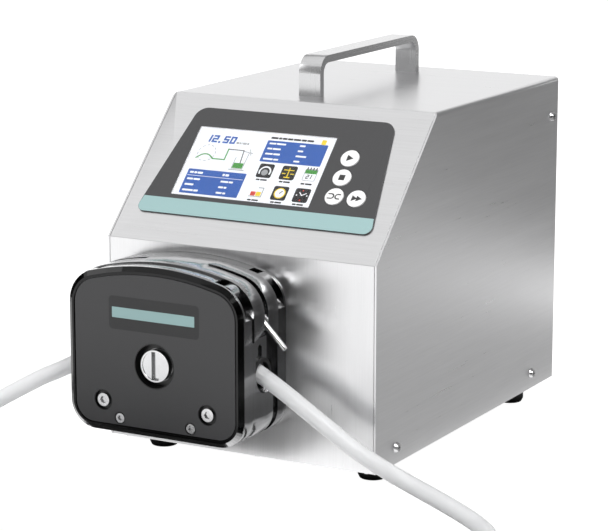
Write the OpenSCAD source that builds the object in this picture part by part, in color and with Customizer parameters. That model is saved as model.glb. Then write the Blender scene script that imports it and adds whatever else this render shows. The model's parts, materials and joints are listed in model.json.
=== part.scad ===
// Bench-top peristaltic pump: a sheet-metal drive housing with a sloping control panel,
// and a roller pump head on its front whose upper block lifts when two levers turn.
// Bench coordinates: X to the right from the middle of the housing, Y backwards from its
// front face, Z up from the floor. bench() moves everything to the final frame.

/* [Housing] */
// Width of the housing
housing_w = 220; // [210:1:230]
// Depth of the housing
housing_d = 310; // [300:1:330]
// Height of the housing without its feet
housing_h = 243; // [235:1:255]
// Height of the upright part of the front face
front_h = 149; // [145:1:155]
// How far the sloping panel leans back
slope_back = 94; // [88:1:100]
// Thickness of the sheet steel
sheet = 1.5; // [1:0.1:2]
// Height of the rubber feet
foot_h = 15; // [10:1:18]
// Diameter of the rubber feet
foot_d = 22; // [18:1:26]

/* [Handle] */
// Width of the handle's flat bar
handle_w = 18; // [16:1:24]
// Thickness of the handle's flat bar
handle_t = 5.5; // [5:0.5:7]
// Height of the handle above the housing
handle_rise = 30; // [28:1:45]

/* [Control panel] */
// Width of the panel overlay at its top
overlay_top_w = 166; // [160:1:172]
// Width of the panel overlay at its bottom
overlay_bottom_w = 192; // [186:1:198]
// Width of the display
display_w = 114; // [108:1:116]
// Height of the display
display_h = 61.5; // [56:0.5:62]
// Diameter of the round keys
key_d = 14; // [12:0.5:15]
// Travel of the keys
key_travel = 0.8; // [0.5:0.1:0.8]

/* [Pump head] */
// Width of the pump head
head_w = 143; // [140:1:146]
// Height of the shaft above the bottom of the housing
shaft_h = 74; // [70:1:78]
// Height of the upper block's stroke when the levers are turned
block_lift = 10; // [8:1:10]
// Radius of the bed that the tube is squeezed against
bed_r = 46; // [45:0.5:46]
// Radius of each roller
roller_r = 8; // [7:0.5:8]

/* [Tube] */
// Outer diameter of the silicone tube
tube_d = 12; // [11:0.5:12]

/* [Hidden] */
$fn = 48;
eps = 0.05;

// Housing, derived
side_x = housing_w / 2;
inner_x = side_x - sheet - 0.2;
top_z = foot_h + housing_h;
tray_z = foot_h + sheet;
slope_a = atan2(housing_h - front_h, slope_back);
slope_len = norm([housing_h - front_h, slope_back]);
rear_out = 4;
foot_x = 88;
foot_y = [39, 276];
handle_x = -8.5;
handle_y = [120, 284];
side_screw_at = [[32, 12], [268, 12], [298, 213]];
rear_screw_at = [[-98, 24], [98, 24], [-98, 220], [98, 220]];
base_screw_x = [-99, 11, 99];

// Control panel, derived: x across, v up the slope
panel_v = [24, 120];
display_at = [-16.3, 72];
key_at = [[57.4, 86], [57.4, 69], [57.4, 52.5], [75, 52.5]];

// Rear face: centres in X and Z
fan_at = [-55, 150];
fan_r = 38;
inlet_at = [55, 60];
switch_at = [55, 96];
signal_at = [52, 180];

// Pump head, derived. Its own axes: X and Z from the shaft
head_x = -33;
head_top = 70.3;
head_bottom = 52;
arch_r = 200;
shoulder_r = 25;
bottom_r = 20;
cover_y = [-61, -58];
front_y = [-58, -46];
block_y = [-46, -12];
back_y = [-12, 0];
mid_y = -29;
half_w = head_w / 2;
shoulder_x = half_w - shoulder_r;
arch_z = head_top - arch_r;
shoulder_z = arch_z + sqrt(pow(arch_r - shoulder_r, 2) - pow(shoulder_x, 2));
parting_z = 22;
centre_recess_r = 16.25;
big_screw_at = [43, -29.5];
small_screw_at = [29.2, -41.2];

// Levers and cams: the cam shafts turn in the block and lift it off the plates
pivot = [54.5, 49];
lever_len = 46.7;
lever_r = 2;
lever_a = -45;
cam_r = 8.5;
cam_shaft_r = 4.5;
cam_e = block_lift / 2;

// Rotor
bearing_r = [6, 14];
shaft_r = 6;
pitch_r = bed_r - 3.8 - roller_r;
pin_r = 3;
roller_rest_a = 45;
roller_y = [-40.5, -17.5];

// Tube in the head: round the bed, then out of each side
tube_r = tube_d / 2;
wrap_a = 30;
wrap_out_r = bed_r - 0.3;
track_r = pitch_r + roller_r + 0.1;
flat_half = (wrap_out_r - track_r) / 2;
wrap_r = wrap_out_r - flat_half;
exit_x = half_w;
exit_z = -6.5;
exit_a = 28;
bend_r = 32;
bush_z = -4.5;

// Free hose, route by hand in bench coordinates
hose_sides = 12;
right_route = [
    [38.5, -29, 82.5], [48, -29, 77.3], [57, -29, 72.1], [68, -29, 65.4], [90, -29, 52], [112, -29, 39.5],
    [136, -30, 29], [160, -32, 21], [181, -34.2, 14.3], [198, -38, 9.4], [211.5, -45.2, 6.8],
    [222, -56, 6.2], [229.5, -70, 6], [235, -90, 6], [239, -115, 6], [240.5, -145, 6.4],
    [240.2, -182, 6.8], [238, -218, 6.8]
];
left_route = [
    [-104.5, -29, 82.5], [-114, -29, 77.4], [-123, -29.7, 72.8], [-134, -31.4, 67.2], [-146, -34.5, 61.5],
    [-158, -40, 54.5], [-170, -48, 47], [-184, -60, 38], [-199, -76, 29], [-214, -95, 20],
    [-229, -117, 12.5], [-242, -142, 8], [-250.5, -169, 6.8], [-255, -195, 6.8], [-256, -218, 6.8]
];
right_coil_at = [164, -218];
left_coil_at = [-182, -218];
coil_out_r = 81;
coil_in_r = 39;
coil_h = 13.6;

// The final origin: middle of the assembly's box on the floor, the free hose left out
left_reach = -head_x + pivot[0] + lever_len * cos(lever_a) + lever_r * sin(-lever_a);
right_reach = side_x + 2.4;
origin_x = (left_reach - right_reach) / 2;
origin_y = -(cover_y[0] + housing_d + rear_out) / 2;

module bench() translate([origin_x, origin_y, 0]) children();

module on_slope() translate([0, 0, foot_h + front_h]) rotate([slope_a, 0, 0]) children();

module at_head() translate([head_x, 0, foot_h + shaft_h]) children();

// A block from x[0] to x[1], y[0] to y[1] and z[0] to z[1]
module span(x, y, z) translate([x[0], y[0], z[0]]) cube([x[1] - x[0], y[1] - y[0], z[1] - z[0]]);

// The 2D children drawn in X and Z, and solid from y[0] to y[1]
module slab(y) translate([0, y[1], 0]) rotate([90, 0, 0]) linear_extrude(y[1] - y[0]) children();

// The 2D children drawn in Y and Z, and solid from x[0] to x[1]
module sweep_x(x) translate([x[0], 0, 0]) rotate([90, 0, 90]) linear_extrude(x[1] - x[0]) children();

// A round bar along Y
module rod(r, y) translate([0, y[1], 0]) rotate([90, 0, 0]) cylinder(r = r, h = y[1] - y[0]);

module mirrored_x() {
    children();
    mirror([1, 0, 0]) children();
}

// Pan-head screw: the head stands on Z = 0 and the shank points down
module pan_screw(head_r, head_h, shank_r, shank_l) {
    difference() {
        union() {
            cylinder(r1 = head_r, r2 = head_r * 0.72, h = head_h, $fn = 32);
            translate([0, 0, -shank_l]) cylinder(r = shank_r, h = shank_l + eps);
        }
        for (a = [0, 90]) rotate([0, 0, a])
            translate([-head_r * 0.5, -head_r * 0.11, head_h * 0.45]) cube([head_r, head_r * 0.22, head_h]);
    }
}

// Socket cap screw: the head stands on Z = 0 and the shank points down
module cap_screw(head_r, head_h, shank_r, shank_l) {
    difference() {
        union() {
            cylinder(r = head_r, h = head_h);
            translate([0, 0, -shank_l]) cylinder(r = shank_r, h = shank_l + eps);
        }
        translate([0, 0, head_h * 0.4]) cylinder(r = head_r * 0.58, h = head_h, $fn = 6);
    }
}

// ---- Housing ----

// The housing's side outline in Y and Z, drawn in by d on every face but the bottom
module side_outline(d = 0) {
    k = d * tan(slope_a / 2);
    polygon([
        [d, foot_h], [d, foot_h + front_h - k], [slope_back + k, top_z - d],
        [housing_d - d, top_z - d], [housing_d - d, foot_h]
    ]);
}

// A U in X and Z with rounded upper corners, reaching out to half width w and up to z
module u_section(w, z, r) {
    translate([-w, foot_h]) square([2 * w, z - foot_h - r]);
    translate([-w + r, foot_h]) square([2 * (w - r), z - foot_h]);
    for (s = [-1, 1]) translate([s * (w - r), z - r]) circle(r);
}

module side_screw_holes() {
    for (p = side_screw_at, s = [-1, 1])
        translate([s * side_x, p[0], foot_h + p[1]]) rotate([0, s * 90, 0])
            translate([0, 0, -12]) cylinder(r = 2.1, h = 14);
}

module base_screw_holes() {
    for (x = base_screw_x) translate([x, 9, foot_h - 1]) cylinder(r = 2.1, h = 6);
}

module rear_screw_holes() {
    for (p = rear_screw_at) translate([p[0], 0, foot_h + p[1]]) rod(2.1, [housing_d - 12, housing_d + 1]);
}

module base_tray() color([0.70, 0.71, 0.72]) bench() difference() {
    union() {
        span([-inner_x, inner_x], [1.7, housing_d - 1.7], [foot_h, tray_z]);
        for (s = [-1, 1]) span(s > 0 ? [inner_x - sheet, inner_x] : [-inner_x, sheet - inner_x],
            [18, housing_d - 1.7], [foot_h, foot_h + 22]);
        span([-inner_x, inner_x], [housing_d - 1.7 - sheet, housing_d - 1.7], [foot_h, foot_h + 32]);
    }
    side_screw_holes();
    base_screw_holes();
    rear_screw_holes();
    for (x = [-foot_x, foot_x], y = foot_y) translate([x, y, foot_h - 1]) cylinder(r = 2.1, h = 4);
    for (k = [0:8]) translate([30 + k * 7, 150, foot_h - 1]) cube([3, 60, 4]);
}

// The front sheet from the side: upright, slope, and a flange along the bottom inside
module front_section() {
    k = sheet * tan(slope_a / 2);
    polygon([
        [0, foot_h], [0, foot_h + front_h], [slope_back, top_z], [slope_back + sheet / sin(slope_a), top_z],
        [sheet, foot_h + front_h - k], [sheet, tray_z + sheet], [17, tray_z + sheet], [17, tray_z],
        [sheet, tray_z], [sheet, foot_h]
    ]);
}

// The upright face and the slope in one sheet, with a flange on the tray
module front_panel() color([0.76, 0.76, 0.77]) bench() difference() {
    sweep_x([-inner_x, inner_x]) front_section();
    base_screw_holes();
    at_head() rod(16, [-1, 3]);
    at_head() head_mount_holes([-1, 3]);
    on_slope() {
        span([display_at[0] - display_w / 2 - 1.2, display_at[0] + display_w / 2 + 1.2],
            [display_at[1] - display_h / 2 - 1.2, display_at[1] + display_h / 2 + 1.2], [-4, 2]);
        for (p = key_at) translate([p[0], p[1], -4]) cylinder(r = key_d / 2 + 0.5, h = 6);
    }
}

module top_cover() color([0.76, 0.76, 0.77]) bench() difference() {
    intersection() {
        translate([0, housing_d, 0]) rotate([90, 0, 0]) linear_extrude(housing_d) difference() {
            u_section(side_x, top_z, 3);
            translate([0, -eps]) u_section(side_x - sheet, top_z - sheet + eps, 1.5);
        }
        sweep_x([-side_x - 1, side_x + 1]) side_outline();
    }
    on_slope() span([-inner_x - 0.1, inner_x + 0.1], [slope_len - 20, slope_len + 4], [-sheet - 0.3, 3]);
    side_screw_holes();
    handle_screw_places() translate([0, 0, -4]) cylinder(r = 2.1, h = 6);
}

// A flat tray whose flanges point forwards inside the cover
module rear_panel() color([0.70, 0.71, 0.72]) bench() {
    y0 = housing_d - sheet;
    lid = top_z - sheet - 0.2;
    difference() {
        union() {
            span([-inner_x, inner_x], [y0, housing_d], [foot_h, lid]);
            for (s = [-1, 1]) span(s > 0 ? [inner_x - sheet, inner_x] : [-inner_x, sheet - inner_x],
                [y0 - 16, y0 + eps], [foot_h + 40, lid]);
        }
        side_screw_holes();
        rear_screw_holes();
        translate([fan_at[0], 0, fan_at[1]]) rod(fan_r, [y0 - 1, housing_d + 1]);
        for (p = fan_corners()) translate([p[0], 0, p[1]]) rod(2.1, [y0 - 1, housing_d + 1]);
        span([inlet_at[0] - 14, inlet_at[0] + 14], [y0 - 1, housing_d + 1], [inlet_at[1] - 10.5, inlet_at[1] + 10.5]);
        span([switch_at[0] - 14, switch_at[0] + 14], [y0 - 1, housing_d + 1], [switch_at[1] - 6.8, switch_at[1] + 6.8]);
        span([signal_at[0] - 13, signal_at[0] + 13], [y0 - 1, housing_d + 1], [signal_at[1] - 5.6, signal_at[1] + 5.6]);
    }
}

// A flat bar bent twice, seen from the side
module bar_outline(d, r) {
    y0 = handle_y[0] + d;
    y1 = handle_y[1] - d;
    z1 = top_z + handle_rise - d;
    translate([y0, top_z]) square([y1 - y0, handle_rise - d - r]);
    translate([y0 + r, top_z]) square([y1 - y0 - 2 * r, handle_rise - d]);
    for (y = [y0 + r, y1 - r]) translate([y, z1 - r]) circle(r);
}

module handle() color([0.80, 0.80, 0.81]) bench() difference() {
    sweep_x([handle_x - handle_w / 2, handle_x + handle_w / 2]) difference() {
        bar_outline(0, 13);
        translate([0, -eps]) bar_outline(handle_t, 7.5);
    }
    handle_screw_places() translate([0, 0, -1]) cylinder(r = 2, h = 13);
}

module handle_screw_places() {
    for (y = [handle_y[0] + handle_t / 2, handle_y[1] - handle_t / 2])
        translate([handle_x, y, top_z]) children();
}

module handle_screws() color([0.6, 0.6, 0.62]) bench() handle_screw_places()
    translate([0, 0, -sheet]) mirror([0, 0, 1]) pan_screw(4, 2.4, 2, 12);

module foot(x, y) color([0.06, 0.06, 0.06]) bench() translate([x, y, 0]) difference() {
    union() {
        cylinder(r1 = foot_d / 2 - 1.5, r2 = foot_d / 2, h = 3);
        translate([0, 0, 3]) cylinder(r = foot_d / 2, h = foot_h - 3);
    }
    translate([0, 0, -1]) cylinder(r = 5.2, h = 7);
    translate([0, 0, -1]) cylinder(r = 2.1, h = foot_h + 2);
}

// M4 screws hold the sides and the rear panel, and longer ones the fan
module housing_screws() color([0.65, 0.65, 0.67]) bench() {
    for (p = side_screw_at, s = [-1, 1])
        translate([s * side_x, p[0], foot_h + p[1]]) rotate([0, s * 90, 0]) pan_screw(4, 2.4, 2, 8);
    for (p = rear_screw_at)
        translate([p[0], housing_d, foot_h + p[1]]) rotate([-90, 0, 0]) pan_screw(4, 2.4, 2, 8);
    for (p = fan_corners()) translate([p[0], housing_d + 2, p[1]]) rotate([-90, 0, 0]) pan_screw(3.6, 2, 2, 28);
}

// M4 screws from below: through the feet, and along the front edge
module base_screws() color([0.65, 0.65, 0.67]) bench() {
    for (x = base_screw_x)
        translate([x, 9, foot_h]) mirror([0, 0, 1]) pan_screw(4, 2.4, 2, 7);
    for (x = [-foot_x, foot_x], y = foot_y)
        translate([x, y, 6]) mirror([0, 0, 1]) pan_screw(4, 2.4, 2, 12);
}

// ---- Control panel ----

module overlay_outline(r, grow = 0) hull() {
    for (s = [-1, 1]) {
        translate([s * (overlay_bottom_w / 2 - 6), panel_v[0] + 6]) circle(6 + grow, $fn = 32);
        translate([s * (overlay_top_w / 2 - r), panel_v[1] - r]) circle(r + grow, $fn = 32);
    }
}

module display_rect(d) translate([display_at[0] - display_w / 2 - d, display_at[1] - display_h / 2 - d])
    square([display_w + 2 * d, display_h + 2 * d]);

module control_overlay() color([0.33, 0.33, 0.34]) bench() on_slope() difference() {
    linear_extrude(1.2) overlay_outline(10);
    translate([0, 0, -1]) linear_extrude(4) display_rect(0);
    for (p = key_at) translate([p[0], p[1], -1]) cylinder(r = key_d / 2 + 0.4, h = 4);
}

module display_window() color([0.85, 0.9, 1, 0.35]) bench() on_slope()
    translate([0, 0, 0.4]) linear_extrude(0.8) display_rect(-0.1);

module display_module() color([0.95, 0.96, 0.98]) bench() on_slope() {
    translate([0, 0, -sheet]) linear_extrude(sheet) display_rect(0.6);
    translate([0, 0, -7.5]) linear_extrude(6) display_rect(5);
}

// Circuit board behind the slope with one tactile switch under each key
module control_board() color([0.1, 0.35, 0.18]) bench() on_slope() {
    span([-86, 86], [30, 118], [-13, -11.4]);
    for (x = [-80, 80], v = [36, 112]) translate([x, v, -11.4 - eps]) cylinder(r = 2.5, h = 11.4 + eps - sheet);
    for (p = key_at) translate([p[0], p[1], -11.4]) {
        translate([-3, -3, -eps]) cube([6, 6, 3.5]);
        cylinder(r = 1.75, h = 4.5);
    }
    span([-60, 30], [44, 60], [-15.5, -13]);
    span([-82, -72], [60, 96], [-19, -13]);
}

// A cap that slides through the panel, a flange that stops it, and a stem for the switch
module key_cap(k) color([0.93, 0.93, 0.93]) bench() on_slope() translate([key_at[k][0], key_at[k][1], 0]) {
    translate([0, 0, -2.5]) cylinder(r = key_d / 2, h = 4.3);
    translate([0, 0, -3.5]) cylinder(r = key_d / 2 + 1.1, h = 1.7);
    translate([0, 0, key_travel - 6.6]) cylinder(r = 2, h = 3.3 - key_travel);
}

// ---- Drive inside the housing ----

module head_mount_holes(y) {
    for (x = [-26, 26], z = [-26, 26]) translate([x, 0, z]) rod(2.1, y);
}

module drive_flange() color([0.55, 0.56, 0.58]) bench() at_head() difference() {
    union() {
        slab([sheet, 8]) square([66, 66], center = true);
        rod(24, [7, 25]);
        slab([20, 25]) square([60, 60], center = true);
    }
    rod(15, [0, 26]);
    head_mount_holes([0, 9]);
    head_mount_holes([19, 26]);
}

module drive_motor() color([0.2, 0.2, 0.22]) bench() at_head() difference() {
    union() {
        for (y = [[25, 35], [100, 110]]) slab(y) square([60, 60], center = true);
        slab([34, 101]) square([56, 56], center = true);
        rod(21, [109, 118]);
        span([-9, 9], [96, 112], [30, 38]);
    }
    rod(4.1, [20, 90]);
}

module motor_shaft() color([0.8, 0.8, 0.82]) bench() at_head() rod(4, [12, 88]);

module drive_coupling() color([0.65, 0.5, 0.3]) bench() at_head() difference() {
    rod(11, [3, 22]);
    rod(4, [11.9, 23]);
    span([-2.7, 2.7], [2, 9], [-12, 12]);
}

// ---- Electronics and rear face ----

module power_supply() color([0.75, 0.76, 0.78]) bench() {
    span([14, 102], [118, 270], [22, 60]);
    span([20, 96], [107, 118 + eps], [26, 44]);
    for (x = [24, 92], y = [130, 258]) translate([x, y, tray_z]) cylinder(r = 4, h = 7);
}

module driver_board() color([0.1, 0.3, 0.2]) bench() {
    span([-98, -8], [130, 250], [28, 29.6]);
    span([-92, -76], [140, 220], [29.6 - eps, 58]);
    for (p = [[-62, 150], [-44, 150], [-62, 170]]) translate([p[0], p[1], 29.6 - eps]) cylinder(r = 7, h = 26);
    span([-40, -16], [190, 222], [29.6 - eps, 34]);
    span([-60, -14], [236, 248], [29.6 - eps, 41]);
}

module board_standoffs() color([0.75, 0.65, 0.35]) bench()
    for (x = [-94, -12], y = [134, 246]) translate([x, y, tray_z]) cylinder(r = 3, h = 28 - tray_z);

function fan_corners() = [for (x = [-1, 1], z = [-1, 1]) [fan_at[0] + 35.8 * x, fan_at[1] + 35.8 * z]];

module fan_frame() color([0.08, 0.08, 0.08]) bench() translate([fan_at[0], 0, fan_at[1]]) {
    y = [housing_d - sheet - 25, housing_d - sheet];
    difference() {
        slab(y) square([80, 80], center = true);
        rod(fan_r, [y[0] - 1, y[1] + 1]);
        for (x = [-35.8, 35.8], z = [-35.8, 35.8]) translate([x, 0, z]) rod(2.1, [y[0] - 1, y[1] + 1]);
    }
    rod(16, [y[0], y[0] + 3]);
    for (a = [45:90:315]) rotate([0, a, 0]) span([15, fan_r + 1], [y[0], y[0] + 3], [-2, 2]);
    rod(2, [y[0], y[0] + 16]);
}

module fan_rotor() color([0.1, 0.1, 0.1]) bench() translate([fan_at[0], 0, fan_at[1]]) {
    y0 = housing_d - sheet - 25;
    difference() {
        rod(15, [y0 + 4, y0 + 20]);
        rod(2.05, [y0 + 3, y0 + 17]);
    }
    for (a = [0:360 / 7:359]) rotate([0, a, 0])
        translate([14, y0 + 12, 0]) rotate([32, 0, 0]) span([0, 21], [-0.8, 0.8], [-8, 8]);
}

// Finger guard: rings on two crossed bars that end in screw eyes
module fan_guard() color([0.7, 0.7, 0.72]) bench() translate([fan_at[0], 0, fan_at[1]])
    slab([housing_d, housing_d + 2]) difference() {
        union() {
            for (r = [10:9:37]) difference() {
                circle(r + 1);
                circle(r - 1);
            }
            for (a = [45, 135]) rotate(a) square([102, 2.4], center = true);
            for (x = [-35.8, 35.8], y = [-35.8, 35.8]) translate([x, y]) circle(4.4);
        }
        for (x = [-35.8, 35.8], y = [-35.8, 35.8]) translate([x, y]) circle(2.1);
    }

module mains_inlet() color([0.07, 0.07, 0.07]) bench() translate([inlet_at[0], 0, inlet_at[1]]) {
    difference() {
        union() {
            span([-24, 24], [housing_d, housing_d + 2.4], [-12.5, 12.5]);
            span([-13.8, 13.8], [housing_d - 24, housing_d + eps], [-10.3, 10.3]);
        }
        span([-12, 12], [housing_d - 17, housing_d + 3], [-8, 8]);
        for (s = [-1, 1]) translate([s * 20, 0, 0]) rod(1.7, [housing_d - 1, housing_d + 3]);
    }
    for (p = [[-7, -1.5], [0, 2.5], [7, -1.5]])
        span([p[0] - 1, p[0] + 1], [housing_d - 17.1, housing_d - 3], [p[1] - 2, p[1] + 2]);
}

module power_switch() color([0.07, 0.07, 0.07]) bench() translate([switch_at[0], 0, switch_at[1]]) difference() {
    union() {
        span([-15.5, 15.5], [housing_d, housing_d + 2], [-8, 8]);
        span([-13.8, 13.8], [housing_d - 20, housing_d + eps], [-6.6, 6.6]);
    }
    span([-11.8, 11.8], [housing_d - 15, housing_d + 3], [-5, 5]);
    translate([0, housing_d - 5, -5.8]) cylinder(r = 1.25, h = 11.6);
}

// The rocker turns about a pin along Z and stands proud at one end
module power_rocker() color([0.1, 0.1, 0.1]) bench() translate([switch_at[0], housing_d - 5, switch_at[1]])
    rotate([0, 0, 10]) {
        translate([0, 0, -5.6]) cylinder(r = 1.2, h = 11.2);
        slab_z([-4.6, 4.6]) polygon([[-10.4, 3], [-10.4, 7], [0, 4.6], [10.4, 7], [10.4, 3], [5, -4], [-5, -4]]);
    }

module slab_z(z) translate([0, 0, z[0]]) linear_extrude(z[1] - z[0]) children();

module signal_socket() color([0.6, 0.6, 0.62]) bench() translate([signal_at[0], 0, signal_at[1]]) {
    difference() {
        union() {
            span([-19.6, 19.6], [housing_d, housing_d + 1.2], [-6.2, 6.2]);
            span([-12.5, 12.5], [housing_d - 10, housing_d + rear_out], [-5, 5]);
        }
        span([-11.7, 11.7], [housing_d - 4, housing_d + rear_out + 1], [-4.2, 4.2]);
    }
    for (s = [-1, 1]) translate([s * 16.6, 0, 0]) rod(2.2, [housing_d + 1.2 - eps, housing_d + rear_out]);
}

// ---- Pump head ----

// The head's outline in X and Z, drawn in by d: a shallow arch, round shoulders, round bottom corners
module head_outline(d = 0) {
    u = [shoulder_x, shoulder_z - arch_z] / (arch_r - shoulder_r);
    far = shoulder_r * 1.6;
    intersection() {
        translate([0, arch_z]) circle(arch_r - d, $fn = 96);
        polygon([
            [-shoulder_x, shoulder_z], [shoulder_x, shoulder_z],
            [shoulder_x + far * u[0], shoulder_z + far * u[1]], [-shoulder_x - far * u[0], shoulder_z + far * u[1]]
        ]);
    }
    for (s = [-1, 1]) {
        translate([s * shoulder_x, shoulder_z]) circle(shoulder_r - d);
        translate([s * (half_w - bottom_r), bottom_r - head_bottom]) circle(bottom_r - d);
    }
    translate([d - half_w, bottom_r - head_bottom]) square([head_w - 2 * d, head_bottom - bottom_r + shoulder_z]);
    translate([bottom_r - half_w, d - head_bottom]) square([head_w - 2 * bottom_r, bottom_r + 1]);
}

module cover_screw_places() {
    for (s = [-1, 1]) {
        translate([s * big_screw_at[0], 0, big_screw_at[1]]) children(0);
        translate([s * small_screw_at[0], 0, small_screw_at[1]]) children(1);
    }
}

// Room for a cam in one plate, open towards the shoulder
module cam_pocket() mirrored_x2() {
    room = cam_r + 0.21 * cam_e + 0.3;
    floor_z = pivot[1] + cam_e - room;
    for (x = [pivot[0] - cam_e, pivot[0]]) translate([x, pivot[1] + cam_e]) circle(room);
    translate([pivot[0] - cam_e, floor_z]) square([cam_e, 2 * room]);
    polygon([[pivot[0], floor_z], [66, floor_z], [74, floor_z - 7], [90, floor_z - 7], [90, 80], [47, 80], [47, 58]]);
}

module mirrored_x2() {
    children();
    mirror([1, 0]) children();
}

module head_back_plate() color([0.12, 0.12, 0.13]) bench() at_head() difference() {
    slab(back_y) head_outline();
    slab([back_y[0] - 1, -2]) cam_pocket();
    rod(bearing_r[1], [-11, -3]);
    rod(8, [-13, 1]);
    head_mount_holes([-9, 1]);
    slab([back_y[0] - 1, -11]) circle(12);
}

// The lower half: two pillars with the tube's ways out, over a round well for the rotor
module head_body() color([0.72, 0.72, 0.74]) bench() at_head() difference() {
    intersection() {
        union() {
            slab([block_y[0], -18.5]) head_outline();
            slab([-18.6, block_y[1]]) head_outline(3);
        }
        span([-half_w - 1, half_w + 1], [block_y[0] - 1, block_y[1] + 1], [-head_bottom - 1, parting_z]);
    }
    slab([block_y[0] - 1, block_y[1] + 1]) circle(bed_r - 0.5);
    mirrored_x() {
        translate([0, mid_y, 0]) tube_way();
        translate([60, mid_y, bush_z]) rotate([0, 90, 0]) cylinder(r = 12.5, h = 20);
        span([67, 73], [-42.5, -15.5], [-7, parting_z + 1]);
        translate([64, mid_y, 12]) rotate([0, 90, 0]) slotted_port(2.6, 5);
        translate([62, -40, 10]) cylinder(r = 3, h = 20);
    }
    cover_screw_places() {
        rod(3.1, [block_y[0] - 1, -20]);
        rod(2.6, [block_y[0] - 1, -26]);
    }
}

// A small slotted port, long in Z
module slotted_port(r, l) {
    for (s = [-1, 1]) translate([s * (l / 2), 0, 0]) cylinder(r = r, h = 10);
    translate([-l / 2, -r, 0]) cube([l, 2 * r, 10]);
}

// The curved way that the tube takes from the rotor well to the side
module tube_way() {
    c = bend_centre();
    rotate([90, 0, 0]) translate([0, 0, -8.6]) linear_extrude(17.2) {
        intersection() {
            translate(c) difference() {
                circle(bend_r + tube_r + 1);
                circle(bend_r - tube_r - 1);
            }
            translate([30, -40]) square([20, 62.5]);
        }
        translate([exit_x, exit_z]) rotate(180 - exit_a) translate([-4, -tube_r - 1]) square([34, tube_d + 2]);
        polygon([[28, 23], [45, 23], [49, 10], [36, 2]]);
    }
}

// The upper block: the arched bed over the rotor, with a slot for each lever
module tube_bed() color([0.80, 0.80, 0.82]) bench() at_head() difference() {
    intersection() {
        slab([block_y[0] + 0.3, block_y[1] - 0.3]) head_outline(-1);
        span([-half_w - 2, half_w + 2], [block_y[0], block_y[1]], [parting_z + 0.3, 90]);
    }
    slab([block_y[0] - 1, block_y[1] + 1]) circle(bed_r);
    mirrored_x() {
        translate([pivot[0], 0, pivot[1]]) {
            rod(cam_shaft_r + 0.05, [block_y[0] - 1, block_y[1] + 1]);
            slab([mid_y - 2.5, mid_y + 2.5]) lever_slot();
        }
        translate([62, -40, 20]) cylinder(r = 3.05, h = 28);
        translate([66.5, 0, 0]) sweep_x([0, 10])
            polygon([[-43, parting_z - 1], [-43, 23], [mid_y, 30.5], [-15, 23], [-15, parting_z - 1]]);
    }
}

module lever_slot() {
    a = 3 * [cos(-132), sin(-132)];
    polygon([a, a + 60 * [cos(lever_a), sin(lever_a)], 90 * [cos(45), sin(45)], a + 60 * [cos(141), sin(141)]]);
}

module head_front_plate() color([0.78, 0.78, 0.80]) bench() at_head() difference() {
    slab(front_y) head_outline();
    slab([front_y[0] + 2, front_y[1] + 1]) cam_pocket();
    rod(centre_recess_r, [front_y[0] - 1, -53.6]);
    rod(8, [-54, -52]);
    rod(bearing_r[1], [-53, front_y[1] + 1]);
    cover_screw_places() {
        rod(3.1, [front_y[0] - 1, front_y[1] + 1]);
        rod(2.6, [front_y[0] - 1, front_y[1] + 1]);
    }
}

// A frame whose face slopes back to the edge, with a pocket for the face panel
module head_cover() color([0.35, 0.35, 0.36]) bench() at_head() difference() {
    hull() {
        slab([cover_y[1] - 0.6, cover_y[1]]) head_outline();
        slab([cover_y[0], cover_y[0] + 0.1]) head_outline(3.4);
    }
    slab([cover_y[0] - 1, cover_y[0] + 1]) head_outline(5);
    cover_openings();
}

module cover_openings() {
    rod(centre_recess_r, [cover_y[0] - 1, cover_y[1] + 1]);
    cover_screw_places() {
        rod(7.5, [cover_y[0] - 1, cover_y[1] + 1]);
        rod(4.5, [cover_y[0] - 1, cover_y[1] + 1]);
    }
}

module face_panel() color([0.27, 0.27, 0.28]) bench() at_head() difference() {
    slab([cover_y[0] + 0.3, cover_y[0] + 1]) head_outline(5.9);
    cover_openings();
}

module cover_screws() color([0.75, 0.75, 0.77]) bench() at_head() cover_screw_places() {
    translate([0, cover_y[1], 0]) rotate([90, 0, 0]) cap_screw(4.75, 2.6, 3, 34);
    translate([0, cover_y[1], 0]) rotate([90, 0, 0]) cap_screw(3.5, 2.4, 2.5, 28);
}

module head_mount_screws() color([0.6, 0.6, 0.62]) bench() at_head()
    for (x = [-26, 26], z = [-26, 26]) translate([x, 8, z]) rotate([-90, 0, 0]) cap_screw(3.5, 4, 2, 16);

module guide_pins() color([0.8, 0.8, 0.82]) bench() at_head() mirrored_x()
    translate([62, -40, 10]) cylinder(r = 3, h = 26);

// Rings that hold the tube where it leaves the head
module tube_bushes() color([0.05, 0.05, 0.05]) bench() at_head() mirrored_x()
    translate([65.2, mid_y, bush_z]) rotate([0, 90, 0]) difference() {
        cylinder(r = 12.45, h = 4);
        translate([0, 0, -1]) cylinder(r = 9.6, h = 7);
    }

// ---- Levers and cams ----

// A cross shaft with an eccentric cam at each end, bored for its lever
module cam_shaft() at_head() translate([pivot[0], 0, pivot[1]]) difference() {
    union() {
        rod(cam_shaft_r, [block_y[0] - 0.4, block_y[1] + 0.4]);
        translate([0, 0, cam_e]) {
            rod(cam_r, [front_y[0] + 2.4, front_y[1] - 0.4]);
            rod(cam_r, [back_y[0] + 0.4, -2.4]);
        }
    }
    lever_pin(-3, 10);
}

module lever_pin(from, to) translate([0, mid_y, 0]) rotate([0, 90 - lever_a, 0])
    translate([0, 0, from]) cylinder(r = lever_r, h = to - from);

module lever() at_head() translate([pivot[0], 0, pivot[1]]) lever_pin(-3, lever_len);

// Mirrors a right-hand piece of the head to its left
module other_side() translate([2 * head_x, 0, 0]) mirror([1, 0, 0]) children();

// ---- Rotor ----

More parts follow.
